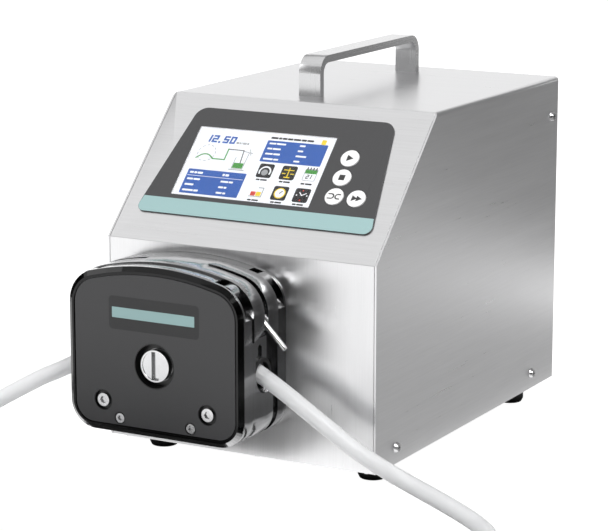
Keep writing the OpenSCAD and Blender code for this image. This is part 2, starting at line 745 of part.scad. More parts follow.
module rotor_shaft() color([0.85, 0.85, 0.86]) bench() at_head() difference() {
    union() {
        rod(11.5, [-60, -54]);
        rod(shaft_r, [-54 - eps, 2]);
        span([-2.5, 2.5], [1.9, 8], [-5.5, 5.5]);
    }
    rod(10.2, [-61, -59.5]);
    span([-2.9, 2.9], [-61, -57], [-10.2, 10.2]);
}

// Two discs on a hub, joined by the four roller pins
module rotor_cage() color([0.70, 0.71, 0.73]) bench() at_head() difference() {
    union() {
        for (y = [[-45, -41], [-17, -13]]) rod(40, y);
        rod(12, [-41 - eps, -17 + eps]);
        roller_places() rod(pin_r, [-45, -13]);
    }
    rod(shaft_r, [-46, -12]);
}

module roller_places() {
    for (k = [0:3]) roller_place(k) children();
}

module roller_place(k) translate([pitch_r * cos(roller_rest_a + 90 * k), 0, pitch_r * sin(roller_rest_a + 90 * k)])
    children();

module roller(k) color([0.88, 0.88, 0.86]) bench() at_head() roller_place(k) difference() {
    rod(roller_r, roller_y);
    rod(pin_r + 0.05, [roller_y[0] - 1, roller_y[1] + 1]);
}

module rotor_bearings() color([0.7, 0.7, 0.72]) bench() at_head()
    for (y = [[-53, -46], [-11, -3]]) difference() {
        rod(bearing_r[1], y);
        rod(bearing_r[0] + 0.05, [y[0] - 1, y[1] + 1]);
    }

// ---- Tube ----

// Sweeps one ring of points per station into a closed solid
module swept(rings) {
    n = len(rings[0]);
    m = len(rings);
    polyhedron(
        points = [for (ring = rings) each ring],
        faces = concat(
            [[for (i = [0:n - 1]) i]],
            [for (j = [0:m - 2], i = [0:n - 1])
                [j * n + i, (j + 1) * n + i, (j + 1) * n + (i + 1) % n, j * n + (i + 1) % n]],
            [[for (i = [n - 1:-1:0]) (m - 1) * n + i]]
        )
    );
}

function unit(v) = v / norm(v);
function dir(a) = [cos(a), sin(a)];

// The bend that turns the tube outwards: straight, arc, straight between the wrap and the exit
function wrap_end() = wrap_r * dir(wrap_a);
function bend_turn() = bend_r * [sin(90 - wrap_a) - sin(exit_a), -(cos(exit_a) - cos(90 - wrap_a))];
function straight_parts() =
    let (d = [exit_x, exit_z] - wrap_end() - bend_turn(), u = dir(wrap_a - 90), w = dir(-exit_a),
        k = u[0] * w[1] - u[1] * w[0])
    [(d[0] * w[1] - d[1] * w[0]) / k, (u[0] * d[1] - u[1] * d[0]) / k];
function bend_start() = wrap_end() + straight_parts()[0] * dir(wrap_a - 90);
function bend_centre() = bend_start() + bend_r * dir(wrap_a);

// A tube ring in the plane of the head: centre, direction outwards, half thickness
function head_ring(c, a, thick) =
    let (wide = tube_r + 0.6 * (tube_r - thick))
    [for (i = [0:hose_sides - 1]) let (t = 360 * i / hose_sides)
        [c[0] + thick * cos(t) * cos(a), mid_y + wide * sin(t), c[1] + thick * cos(t) * sin(a)]];

// The tube stays clear of the rollers' track, so it is flat along it and round away from it
function side_ring(s, c, a) =
    head_ring([s * c[0], c[1]], s > 0 ? a : 180 - a, min(tube_r, norm(c) - track_r));

function side_rings(s) = [
    side_ring(s, wrap_end() + 0.5 * straight_parts()[0] * dir(wrap_a - 90), wrap_a),
    for (k = [0:4]) let (a = wrap_a + k * (90 - exit_a - wrap_a) / 4)
        side_ring(s, bend_centre() - bend_r * dir(a), a),
    side_ring(s, [exit_x, exit_z], 90 - exit_a)
];

function reversed(list) = [for (i = [len(list) - 1:-1:0]) list[i]];

module pump_tube() color([0.88, 0.89, 0.90]) bench() at_head() swept([
    each reversed(side_rings(1)),
    for (a = [wrap_a:5:180 - wrap_a]) head_ring(wrap_r * dir(a), a, flat_half),
    each side_rings(-1)
]);

// Rings of a round hose along a route of points
function route_dir(p, i) = unit(p[min(i + 1, len(p) - 1)] - p[max(i - 1, 0)]);
function hose_rings(p) = [for (i = [0:len(p) - 1])
    let (t = route_dir(p, i), side = unit(cross(t, [0, 0, 1])), up = cross(side, t))
    [for (k = [0:hose_sides - 1]) p[i] + tube_r * (cos(360 * k / hose_sides) * side + sin(360 * k / hose_sides) * up)]
];

// The coil's outer shape
module hose_coil(at) translate([at[0], at[1], 0]) rotate_extrude($fn = 72)
    translate([coil_in_r, 0]) square([coil_out_r - coil_in_r, coil_h]);

module hose_right() color([0.92, 0.92, 0.93]) bench() {
    swept(hose_rings(right_route));
}

module hose_left() color([0.92, 0.92, 0.93]) bench() {
    swept(hose_rings(left_route));
}

module hose_coil_right() color([0.92, 0.92, 0.93]) bench() hose_coil(right_coil_at);

module hose_coil_left() color([0.92, 0.92, 0.93]) bench() hose_coil(left_coil_at);

base_tray();
front_panel();
top_cover();
rear_panel();
handle();
handle_screws();
foot(-foot_x, foot_y[0]);  // foot_front_left
foot(foot_x, foot_y[0]);  // foot_front_right
foot(-foot_x, foot_y[1]);  // foot_rear_left
foot(foot_x, foot_y[1]);  // foot_rear_right
housing_screws();
base_screws();
control_overlay();
display_window();
display_module();
control_board();
key_cap(0);  // key_start
key_cap(1);  // key_stop
key_cap(2);  // key_direction
key_cap(3);  // key_fast
drive_flange();
drive_motor();
motor_shaft();
drive_coupling();
power_supply();
driver_board();
board_standoffs();
fan_frame();
fan_rotor();
fan_guard();
mains_inlet();
power_switch();
power_rocker();
signal_socket();
head_back_plate();
head_body();
tube_bed();
head_front_plate();
head_cover();
face_panel();
cover_screws();
head_mount_screws();
guide_pins();
tube_bushes();
color([0.5, 0.5, 0.52]) bench() other_side() cam_shaft();  // cam_shaft_left
color([0.5, 0.5, 0.52]) bench() cam_shaft();  // cam_shaft_right
color([0.85, 0.85, 0.86]) bench() other_side() lever();  // clamp_lever_left
color([0.85, 0.85, 0.86]) bench() lever();  // clamp_lever_right
rotor_shaft();
rotor_cage();
rotor_bearings();
roller(0);  // roller_1
roller(1);  // roller_2
roller(2);  // roller_3
roller(3);  // roller_4
pump_tube();
hose_right();
hose_left();
hose_coil_right();
hose_coil_left();
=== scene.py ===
"""The looks of a bench-top peristaltic pump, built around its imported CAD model."""
import json
import math

import bmesh
import bpy
from mathutils import Matrix, Vector


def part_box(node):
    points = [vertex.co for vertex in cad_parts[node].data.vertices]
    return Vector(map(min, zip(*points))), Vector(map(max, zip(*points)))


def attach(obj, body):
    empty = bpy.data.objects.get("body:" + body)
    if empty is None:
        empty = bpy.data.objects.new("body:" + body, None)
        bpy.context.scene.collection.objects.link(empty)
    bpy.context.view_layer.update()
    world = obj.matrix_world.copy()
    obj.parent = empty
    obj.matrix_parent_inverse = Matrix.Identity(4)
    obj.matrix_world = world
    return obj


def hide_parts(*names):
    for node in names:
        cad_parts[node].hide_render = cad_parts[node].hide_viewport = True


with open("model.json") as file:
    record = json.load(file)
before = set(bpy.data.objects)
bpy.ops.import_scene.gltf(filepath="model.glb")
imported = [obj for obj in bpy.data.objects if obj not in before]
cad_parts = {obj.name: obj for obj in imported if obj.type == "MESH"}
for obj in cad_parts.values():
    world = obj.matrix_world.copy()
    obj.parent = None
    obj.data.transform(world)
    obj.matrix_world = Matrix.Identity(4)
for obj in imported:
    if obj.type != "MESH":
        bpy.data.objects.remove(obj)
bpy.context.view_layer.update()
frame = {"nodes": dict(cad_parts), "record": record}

# ---- Places, taken from the frame ----

MM = 0.001
cover_lo, cover_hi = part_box("top_cover")
shaft_lo, shaft_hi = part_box("rotor_shaft")
RIM_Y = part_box("head_cover")[0].y
MID_X = (cover_lo.x + cover_hi.x) / 2
FRONT_Y = cover_lo.y
FLOOR_TO_HOUSING = cover_lo.z
BEND_Z = cover_lo.z + 0.149
SLOPE_ANGLE = math.radians(45)
HEAD_X = (shaft_lo.x + shaft_hi.x) / 2
HEAD_Z = cover_lo.z + 0.074

SLOPE = Matrix.Translation((MID_X, FRONT_Y, BEND_Z)) @ Matrix.Rotation(SLOPE_ANGLE, 4, "X")
FACE = Matrix.Translation((HEAD_X, RIM_Y, HEAD_Z)) @ Matrix.Rotation(math.radians(90), 4, "X")

# ---- Camera ----


def make_camera():
    azimuth, elevation = math.radians(28.935), math.radians(12.217)
    target = Vector((MID_X - 0.02985, FRONT_Y + 0.150, FLOOR_TO_HOUSING + 0.10674))
    back = Vector((
        math.sin(azimuth) * math.cos(elevation),
        -math.cos(azimuth) * math.cos(elevation),
        math.sin(elevation),
    ))
    data = bpy.data.cameras.new("camera")
    data.lens = 146.0
    data.sensor_width = 36.0
    data.clip_end = 20.0
    camera = bpy.data.objects.new("camera", data)
    camera.location = target + back * 1.894
    camera.rotation_mode = "QUATERNION"
    camera.rotation_quaternion = (-back).to_track_quat("-Z", "Y")
    bpy.context.scene.collection.objects.link(camera)
    bpy.context.scene.camera = camera


make_camera()

# ---- Helpers for nodes and materials ----


def new_material(name):
    material = bpy.data.materials.new(name)
    material.use_nodes = True
    return material, material.node_tree, material.node_tree.nodes["Principled BSDF"]


def plain(name, colour, roughness, metallic=0.0, **inputs):
    """A material with one colour; inputs are more shader sockets by name."""
    material, tree, shader = new_material(name)
    shader.inputs["Base Color"].default_value = (*colour, 1)
    shader.inputs["Roughness"].default_value = roughness
    shader.inputs["Metallic"].default_value = metallic
    for key, value in inputs.items():
        shader.inputs[key.replace("_", " ")].default_value = value
    return material


def node(tree, kind, **settings):
    made = tree.nodes.new(kind)
    for key, value in settings.items():
        setattr(made, key, value)
    return made


def math_node(tree, operation, a, b=0.0):
    made = node(tree, "ShaderNodeMath", operation=operation)
    for socket, value in zip(made.inputs, (a, b)):
        if isinstance(value, (int, float)):
            socket.default_value = value
        else:
            tree.links.new(value, socket)
    return made.outputs[0]


def noise(tree, vector, scale, stretch, detail=2.0):
    """Noise drawn out along the axes where stretch is small."""
    mapping = node(tree, "ShaderNodeMapping")
    mapping.inputs["Scale"].default_value = stretch
    tree.links.new(vector, mapping.inputs["Vector"])
    made = node(tree, "ShaderNodeTexNoise")
    made.inputs["Scale"].default_value = scale
    made.inputs["Detail"].default_value = detail
    tree.links.new(mapping.outputs[0], made.inputs["Vector"])
    return made.outputs["Fac"]


def mapped(tree, value, low, high, start=0.3, end=0.7):
    made = node(tree, "ShaderNodeMapRange")
    tree.links.new(value, made.inputs["Value"])
    for name, number in (("From Min", start), ("From Max", end), ("To Min", low), ("To Max", high)):
        made.inputs[name].default_value = number
    return made.outputs[0]


def mixed(tree, factor, a, b):
    made = node(tree, "ShaderNodeMix", data_type="FLOAT")
    for socket, value in zip((made.inputs[0], made.inputs[2], made.inputs[3]), (factor, a, b)):
        tree.links.new(value, socket)
    return made.outputs[0]


def bump(tree, shader, height, strength, distance):
    made = node(tree, "ShaderNodeBump")
    made.inputs["Strength"].default_value = strength
    made.inputs["Distance"].default_value = distance
    tree.links.new(height, made.inputs["Height"])
    tree.links.new(made.outputs[0], shader.inputs["Normal"])


def grey(tree, value, shader, tint=(1.0, 1.0, 1.01)):
    """Sets the base colour to value times a tint."""
    made = node(tree, "ShaderNodeCombineColor")
    for socket, part in zip(made.inputs, tint):
        tree.links.new(math_node(tree, "MULTIPLY", value, part), socket)
    tree.links.new(made.outputs[0], shader.inputs["Base Color"])


def brushed(name, base, roughness, fine=900.0, spread=0.03, anisotropy=0.6):
    """Brushed stainless sheet: grain along X on the top and slope, Y on the sides, Z on the front."""
    material, tree, shader = new_material(name)
    shader.inputs["Metallic"].default_value = 1.0
    place = node(tree, "ShaderNodeTexCoord").outputs["Object"]
    facing = node(tree, "ShaderNodeSeparateXYZ")
    tree.links.new(node(tree, "ShaderNodeNewGeometry").outputs["True Normal"], facing.inputs[0])
    sideways = math_node(tree, "GREATER_THAN", math_node(tree, "ABSOLUTE", facing.outputs["X"]), 0.6)
    upright = math_node(tree, "LESS_THAN", math_node(tree, "ABSOLUTE", facing.outputs["Z"]), 0.4)
    along = 0.03
    flat = math_node(tree, "SUBTRACT", 1.0, sideways)
    smear = node(tree, "ShaderNodeCombineXYZ")
    for socket, part in zip(smear.inputs, (upright, math_node(tree, "SUBTRACT", 1.0, upright))):
        tree.links.new(math_node(tree, "MULTIPLY", flat, part), socket)
    tree.links.new(sideways, smear.inputs["Z"])
    tree.links.new(smear.outputs[0], shader.inputs["Tangent"])
    shader.inputs["Anisotropic"].default_value = anisotropy

    def grain(scale, detail):
        x, y, z = (
            noise(tree, place, scale, tuple(along if k == axis else 1.0 for k in range(3)), detail)
            for axis in range(3)
        )
        return mixed(tree, sideways, mixed(tree, upright, x, z), y)

    fine_grain = grain(fine, 3.0)
    broad_grain = grain(fine / 6, 2.0)
    both = math_node(tree, "ADD", math_node(tree, "MULTIPLY", fine_grain, 0.6),
                     math_node(tree, "MULTIPLY", broad_grain, 0.4))
    grey(tree, mapped(tree, both, base - spread, base + spread), shader)
    tree.links.new(mapped(tree, both, roughness - 0.03, roughness + 0.03), shader.inputs["Roughness"])
    bump(tree, shader, both, 0.03, 0.0001)
    return material


def polished(name, base, roughness, wear=0.03, painted_side_shade=1.0):
    """Polished steel with slight turning marks; painted_side_shade is a painted shade that darkens the base colour
    of what doesn't face up.
    """
    material, tree, shader = new_material(name)
    shader.inputs["Metallic"].default_value = 1.0
    place = node(tree, "ShaderNodeTexCoord").outputs["Object"]
    marks = noise(tree, place, 260.0, (0.15, 1.0, 0.15), 2.0)
    shade = mapped(tree, marks, base - wear, base + wear)
    # painted shade: faces that point sideways or down get a darker base colour
    if painted_side_shade < 1.0:
        facing = node(tree, "ShaderNodeSeparateXYZ")
        tree.links.new(node(tree, "ShaderNodeNewGeometry").outputs["Normal"], facing.inputs[0])
        shade = math_node(tree, "MULTIPLY", shade, mapped(tree, facing.outputs["Z"], painted_side_shade, 1.0, 0.2, 0.8))
    grey(tree, shade, shader)
    tree.links.new(mapped(tree, marks, roughness * 0.7, roughness * 1.3), shader.inputs["Roughness"])
    return material


def rim_black(name):
    """Black rim with a painted reflection: the base colour is made bright where it faces down, as it reads in the
    studio's light.
    """
    material, tree, shader = new_material(name)
    shader.inputs["Metallic"].default_value = 1.0
    shader.inputs["Roughness"].default_value = 0.14
    facing = node(tree, "ShaderNodeSeparateXYZ")
    tree.links.new(node(tree, "ShaderNodeNewGeometry").outputs["Normal"], facing.inputs[0])
    # painted reflection: downward faces get a bright base colour
    grey(tree, mapped(tree, facing.outputs["Z"], 0.48, 0.03, -0.55, -0.1), shader)
    return material


def moulded(name, colour, roughness, texture=0.0):
    """Plastic or rubber with a fine surface texture."""
    material, tree, shader = new_material(name)
    shader.inputs["Base Color"].default_value = (*colour, 1)
    place = node(tree, "ShaderNodeTexCoord").outputs["Object"]
    spots = noise(tree, place, 1500.0, (1.0, 1.0, 1.0), 2.0)
    tree.links.new(mapped(tree, spots, roughness * 0.9, roughness * 1.1), shader.inputs["Roughness"])
    if texture:
        bump(tree, shader, spots, texture, 0.0002)
    return material


def lit(name, colour, strength):
    """A lit part of the display."""
    return plain(name, tuple(c * 0.2 for c in colour), 0.4,
                 Emission_Color=(*colour, 1), Emission_Strength=strength)


def circuit(name):
    """Green solder mask with darker tracks."""
    material, tree, shader = new_material(name)
    place = node(tree, "ShaderNodeTexCoord").outputs["Object"]
    tracks = node(tree, "ShaderNodeTexVoronoi", feature="DISTANCE_TO_EDGE")
    tracks.inputs["Scale"].default_value = 220.0
    tree.links.new(place, tracks.inputs["Vector"])
    grey(tree, mapped(tree, tracks.outputs["Distance"], 0.12, 0.26, 0.0, 0.08), shader, (0.2, 1.0, 0.4))
    shader.inputs["Roughness"].default_value = 0.35
    return material


def silicone(name):
    """Milky translucent silicone."""
    material, tree, shader = new_material(name)
    shader.inputs["Base Color"].default_value = (0.93, 0.94, 0.955, 1)
    shader.inputs["IOR"].default_value = 1.41
    shader.inputs["Transmission Weight"].default_value = 0.35
    shader.inputs["Subsurface Weight"].default_value = 0.5
    shader.inputs["Subsurface Radius"].default_value = (0.012, 0.012, 0.012)
    shader.inputs["Subsurface Scale"].default_value = 1.0
    place = node(tree, "ShaderNodeTexCoord").outputs["Object"]
    cloud = noise(tree, place, 60.0, (1.0, 1.0, 1.0), 2.0)
    tree.links.new(mapped(tree, cloud, 0.28, 0.38), shader.inputs["Roughness"])
    return material


STEEL = brushed("brushed_steel", 0.76, 0.30)
HANDLE_STEEL = brushed("handle_steel", 0.66, 0.26, 1200.0, 0.02, 0.3)
# painted shade: polished_steel is darkened on faces that don't point up
POLISHED = polished("polished_steel", 0.78, 0.16, painted_side_shade=0.32)
RIM = rim_black("rim_black")
SCREW = polished("screw_steel", 0.66, 0.20)
BRASS = plain("coupling_brass", (0.65, 0.47, 0.2), 0.3, 1.0)
ALUMINIUM = polished("cast_aluminium", 0.6, 0.4, 0.05)
# painted shade: back_plate_steel is darkened on faces that don't point up
POLISHED_BACK = polished("back_plate_steel", 0.5, 0.16, painted_side_shade=0.25)
GLOSS_BLACK = moulded("gloss_black", (0.003, 0.003, 0.003), 0.30)
DARK_PANEL = moulded("dark_panel", (0.040, 0.040, 0.042), 0.36)
LABEL_PATCH = moulded("label_patch", (0.020, 0.020, 0.021), 0.42)
BLACK_PLASTIC = moulded("black_plastic", (0.012, 0.012, 0.012), 0.4, 0.1)
OVERLAY = moulded("overlay_plastic", (0.050, 0.050, 0.052), 0.5)
TEAL = moulded("teal_print", (0.31, 0.47, 0.47), 0.5)
KEY = moulded("key_plastic", (0.86, 0.86, 0.86), 0.4)
KEY_PRINT = moulded("key_print", (0.03, 0.03, 0.03), 0.5)
RUBBER = moulded("foot_rubber", (0.01, 0.01, 0.01), 0.55, 0.2)
GLASS = plain("display_glass", (1, 1, 1), 0.03, Transmission_Weight=1.0, IOR=1.18)
SCREEN = lit("display_panel", (0.95, 0.97, 1.0), 0.85)
BOARD = circuit("circuit_board")
SILICONE = silicone("silicone_tube")

LOOKS = {
    "brushed_steel": STEEL, "handle_steel": HANDLE_STEEL, "screw_steel": SCREW,
    "foot_rubber": RUBBER, "overlay_plastic": OVERLAY, "display_glass": GLASS,
    "display_panel": SCREEN, "circuit_board": BOARD, "key_plastic": KEY,
    "cast_aluminium": ALUMINIUM, "black_metal": POLISHED_BACK, "coupling_brass": BRASS,
    "black_plastic": BLACK_PLASTIC, "polished_steel": POLISHED, "gloss_black": GLOSS_BLACK,
    "dark_panel": DARK_PANEL, "silicone_tube": SILICONE,
}

# Nodes that look different from the rest of their slot
OWN_LOOKS = {"head_cover": RIM, "head_back_plate": POLISHED_BACK, "rotor_shaft": SCREW,
             "clamp_lever_left": SCREW, "clamp_lever_right": SCREW}

# ---- Free hoses ----

HOSE_D = 0.012
TURN_PITCH = 0.0122
TURNS = 2.2
COIL_R = 0.074
POINTS_PER_TURN = 20
RIGHT_ROUTE = [
    (38.5, -29, 82.5), (48, -29, 77.3), (57, -29, 72.1), (68, -29, 65.4), (90, -29, 52), (112, -29, 39.5),
    (136, -30, 29), (160, -32, 21), (181, -34.2, 14.3), (198, -38, 9.4), (211.5, -45.2, 6.8),
    (222, -56, 6.2), (229.5, -70, 6), (235, -90, 6), (239, -115, 6), (240.5, -145, 6.4),
    (240.2, -182, 6.8), (238, -218, 6.8),
]
LEFT_ROUTE = [
    (-104.5, -29, 82.5), (-114, -29, 77.4), (-123, -29.7, 72.8), (-134, -31.4, 67.2), (-146, -34.5, 61.5),
    (-158, -40, 54.5), (-170, -48, 47), (-184, -60, 38), (-199, -76, 29), (-214, -95, 20),
    (-229, -117, 12.5), (-242, -142, 8), (-250.5, -169, 6.8), (-255, -195, 6.8), (-256, -218, 6.8),
]


def bench_point(p):
    """A point of part.scad's bench coordinates, in metres in the frame."""
    return Vector((MID_X + p[0] * MM, FRONT_Y + p[1] * MM, p[2] * MM))


def coil_points(end, side):
    """Turns that go on inwards from end, which is the coil's outermost point on that side."""
    centre = Vector((end.x - side * COIL_R, end.y, end.z))
    count = round(TURNS * POINTS_PER_TURN)
    points = []
    for k in range(1, count + 1):
        turn = k / POINTS_PER_TURN
        radius = COIL_R - TURN_PITCH * turn
        angle = -2 * math.pi * turn
        points.append(centre + radius * Vector((side * math.cos(angle), math.sin(angle), 0)))
    return points


def hose_curve(name, points):
    data = bpy.data.curves.new(name, "CURVE")
    data.dimensions = "3D"
    data.bevel_depth = HOSE_D / 2
    data.bevel_resolution = 6
    data.resolution_u = 8
    data.use_fill_caps = True
    spline = data.splines.new("BEZIER")
    spline.bezier_points.add(len(points) - 1)
    for knot, p in zip(spline.bezier_points, points):
        knot.co = p
        knot.handle_left_type = knot.handle_right_type = "AUTO"
    data.materials.append(SILICONE)
    made = bpy.data.objects.new(name, data)
    bpy.context.scene.collection.objects.link(made)
    return made


def coil_tie(name, centre, angle, body_material):
    """A strap round the coil's turns, flat under and over them."""
    outer, inner = COIL_R + 0.0066, COIL_R - TURN_PITCH * TURNS - 0.0066
    bottom, top = 0.0002, HOSE_D + 0.0014
    thickness, half_width, corner = 0.0006, 0.003, 0.005
    ring = []
    for cx, cz, start in (
        (outer - corner, top - corner, 0), (inner + corner, top - corner, 90),
        (inner + corner, bottom + corner, 180), (outer - corner, bottom + corner, 270),
    ):
        for k in range(5):
            a = math.radians(start + 22.5 * k)
            ring.append((Vector((cx, 0, cz)), Vector((math.cos(a), 0, math.sin(a))), corner))
    mesh = bmesh.new()
    loops = []
    for base, out, r in ring:
        loops.append([
            mesh.verts.new(base + out * reach + Vector((0, offset, 0)))
            for reach, offset in (
                (r, -half_width), (r, half_width), (r - thickness, half_width), (r - thickness, -half_width)
            )
        ])
    for a, b in zip(loops, loops[1:] + loops[:1]):
        for k in range(4):
            mesh.faces.new((a[k], a[(k + 1) % 4], b[(k + 1) % 4], b[k]))
    bmesh.ops.recalc_face_normals(mesh, faces=mesh.faces)
    mesh.transform(Matrix.Translation((centre.x, centre.y, 0)) @ Matrix.Rotation(angle, 4, "Z"))
    return add_mesh(name, mesh, body_material)


def add_mesh(name, mesh, material):
    data = bpy.data.meshes.new(name)
    mesh.to_mesh(data)
    mesh.free()
    data.materials.append(material)
    made = bpy.data.objects.new(name, data)
    bpy.context.scene.collection.objects.link(made)
    return made


def free_hose(side_name, side, route):
    path = [bench_point(p) for p in route]
    centre = Vector((path[-1].x - side * COIL_R, path[-1].y, 0))
    points = path + coil_points(path[-1], side)
    hose = hose_curve(f"free_hose_{side_name}", points)
    tie = coil_tie(f"hose_tie_{side_name}", centre, math.radians(90), KEY)
    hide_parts(f"hose_{side_name}", f"hose_coil_{side_name}")
    for made in (hose, tie):
        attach(made, "housing")


free_hose("right", 1, RIGHT_ROUTE)
free_hose("left", -1, LEFT_ROUTE)

# ---- CAD nodes: materials and softened edges ----

EDGES = {
    "top_cover": 0.5, "front_panel": 0.3, "handle": 0.9, "base_tray": 0.3,
    "head_cover": 1.1, "head_front_plate": 0.5, "head_back_plate": 0.5, "head_body": 0.4,
    "tube_bed": 0.5, "control_overlay": 0.2, "face_panel": 0.15,
    "clamp_lever_left": 0.4, "clamp_lever_right": 0.4, "rotor_shaft": 0.3,
    "key_start": 0.35, "key_stop": 0.35, "key_direction": 0.35, "key_fast": 0.35,
    "foot_front_left": 0.6, "foot_front_right": 0.6, "foot_rear_left": 0.6, "foot_rear_right": 0.6,
    "cover_screws": 0.25, "housing_screws": 0.25, "base_screws": 0.25, "tube_bushes": 0.4,
    "power_rocker": 0.3, "mains_inlet": 0.3, "power_switch": 0.3, "fan_rotor": 0.2, "fan_frame": 0.4,
}


def soften(made, width, angle=32):
    weld = made.modifiers.new("weld", "WELD")
    weld.merge_threshold = 1e-6
    if width:
        edge = made.modifiers.new("edge", "BEVEL")
        edge.width = width * MM
        edge.segments = 3
        edge.limit_method = "ANGLE"
        edge.angle_limit = math.radians(angle)
        edge.harden_normals = True


def dress_nodes():
    slots = {part["node"]: part["material_slot"] for part in frame["record"]["subparts"]}
    for name, made in frame["nodes"].items():
        made.data.materials.clear()
        made.data.materials.append(OWN_LOOKS.get(name, LOOKS[slots[name]]))
        if name in EDGES:
            soften(made, EDGES[name])


dress_nodes()

# ---- Prints and pictures: thin plates drawn in 2D ----


def rounded(cx, cy, w, h, r, steps=6):
    """A rectangle with round corners, in millimetres."""
    points = []
    for k, (sx, sy) in enumerate(((1, 1), (-1, 1), (-1, -1), (1, -1))):
        for s in range(steps + 1):
            a = math.radians(90 * k + 90 * s / steps)
            points.append((cx + sx * (w / 2 - r) + r * math.cos(a), cy + sy * (h / 2 - r) + r * math.sin(a)))
    return points


def disc(cx, cy, r, count=32):
    return [
        (cx + r * math.cos(2 * math.pi * k / count), cy + r * math.sin(2 * math.pi * k / count))
        for k in range(count)
    ]


def stroke(points, width):
    """Rectangles along a line of points, one for each stretch."""
    shapes = []
    for (x0, y0), (x1, y1) in zip(points, points[1:]):
        length = math.hypot(x1 - x0, y1 - y0)
        ux, uy = (x1 - x0) / length * width / 2, (y1 - y0) / length * width / 2
        shapes.append([
            (x0 - ux + uy, y0 - uy - ux), (x1 + ux + uy, y1 + uy - ux),
            (x1 + ux - uy, y1 + uy + ux), (x0 - ux - uy, y0 - uy + ux),
        ])
    return shapes


def arc(cx, cy, r, start, end, count=12):
    return [
        (cx + r * math.cos(math.radians(start + (end - start) * k / count)),
         cy + r * math.sin(math.radians(start + (end - start) * k / count)))
        for k in range(count + 1)
    ]


def plates(name, shapes, place, low, thick, material, body):
    """Flat plates in the XY plane of place, from low to low + thick millimetres above it."""
    mesh = bmesh.new()
    for k, shape in enumerate(shapes):
        bottom = low + 0.002 * (k % 5)
        lower = [mesh.verts.new((x * MM, y * MM, bottom * MM)) for x, y in shape]
        upper = [mesh.verts.new((x * MM, y * MM, (bottom + thick) * MM)) for x, y in shape]
        mesh.faces.new(reversed(lower))
        mesh.faces.new(upper)
        for i in range(len(shape)):
            j = (i + 1) % len(shape)
            mesh.faces.new((lower[i], lower[j], upper[j], upper[i]))
    bmesh.ops.recalc_face_normals(mesh, faces=mesh.faces)
    mesh.transform(place)
    made = add_mesh(name, mesh, material)
    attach(made, body)
    return made


# ---- Control panel ----

PANEL_TOP = 1.2
PANEL_LOW, PANEL_HIGH = 24.0, 120.0
BAND_TOP = 37.5
PANEL_BOTTOM_W, PANEL_TOP_W = 192.0, 166.0


def overlay_half_width(v):
    """Half the overlay's width at v up the slope, away from its corners."""
    t = (v - PANEL_LOW) / (PANEL_HIGH - PANEL_LOW)
    return (PANEL_BOTTOM_W + (PANEL_TOP_W - PANEL_BOTTOM_W) * t) / 2


def teal_band():
    r = 6.0
    inset = 0.12
    low = PANEL_LOW + inset
    reach = PANEL_BOTTOM_W / 2 - inset
    right = [(reach - r + r * math.cos(math.radians(a)), low + r + r * math.sin(math.radians(a)))
             for a in range(-90, 1, 10)]
    right.append((overlay_half_width(BAND_TOP) - inset + 0.25, BAND_TOP))
    shape = [(-x, v) for x, v in right] + list(reversed(right))
    plates("overlay_band", [shape], SLOPE, PANEL_TOP - 0.02, 0.06, TEAL, "housing")


teal_band()

# Display: picture coordinates are millimetres from the middle of the screen
SCREEN_AT = (-16.3, 72.0)
SCREEN_W, SCREEN_H = 114.0, 61.5
SCREEN_PLACE = SLOPE @ Matrix.Translation((SCREEN_AT[0] * MM, SCREEN_AT[1] * MM, 0))

BLUE = lit("screen_blue", (0.03, 0.11, 0.42), 0.9)
WHITE = lit("screen_white", (0.95, 0.97, 1.0), 0.85)
GREEN = lit("screen_green", (0.06, 0.30, 0.05), 0.9)
DARK = lit("screen_dark", (0.012, 0.012, 0.014), 0.9)
GREY = lit("screen_grey", (0.35, 0.36, 0.37), 0.9)
YELLOW = lit("screen_yellow", (0.85, 0.65, 0.03), 0.9)
RED = lit("screen_red", (0.6, 0.05, 0.03), 0.9)


def picture(name, shapes, material, layer):
    """A layer of the screen's picture; a higher layer lies over a lower one."""
    plates(f"screen_{name}", shapes, SCREEN_PLACE, 0.01 + 0.045 * layer, 0.03, material,
           "housing")


def text_row(x, y, widths, height, gap=0.5):
    """A row of blocks that stands for a line of small print."""
    shapes = []
    for w in widths:
        shapes.append(rounded(x + w / 2, y, w, height, min(w, height) * 0.25, 2))
        x += w + gap
    return shapes


SEGMENTS = {
    "0": "abcdef", "1": "bc", "2": "abged", "3": "abgcd", "5": "afgcd",
}


def digit(x, y, w, h, figure, weight):
    """A figure drawn with strokes, leaning to the right."""
    lean = 0.14 * h
    top, mid, bottom = y + h / 2, y, y - h / 2
    lines = {
        "a": ((x, top), (x + w, top)), "b": ((x + w, top), (x + w, mid)),
        "c": ((x + w, mid), (x + w, bottom)), "d": ((x, bottom), (x + w, bottom)),
        "e": ((x, mid), (x, bottom)), "f": ((x, top), (x, mid)), "g": ((x, mid), (x + w, mid)),
    }
    shapes = []
    for segment in SEGMENTS[figure]:
        ends = [(px + lean * (py - y) / h, py) for px, py in lines[segment]]
        shapes += stroke(ends, weight)
    return shapes


def screen_reading():
    shapes = []
    x = -45.6
    for figure in "12.50":
        if figure == ".":
            shapes.append(disc(x - 0.2, 18.6, 0.95, 12))
            x += 3.6
            continue
        w = 0.5 if figure == "1" else 3.2
        shapes += digit(x, 21.3, w, 5.0, figure, 1.45)
        x += w + 2.5
    picture("reading", shapes, BLUE, 1)
    picture("units", text_row(-22.5, 19.2, (2.2, 1.0, 0.7, 3.2, 1.6), 1.6, 0.5), GREY, 1)


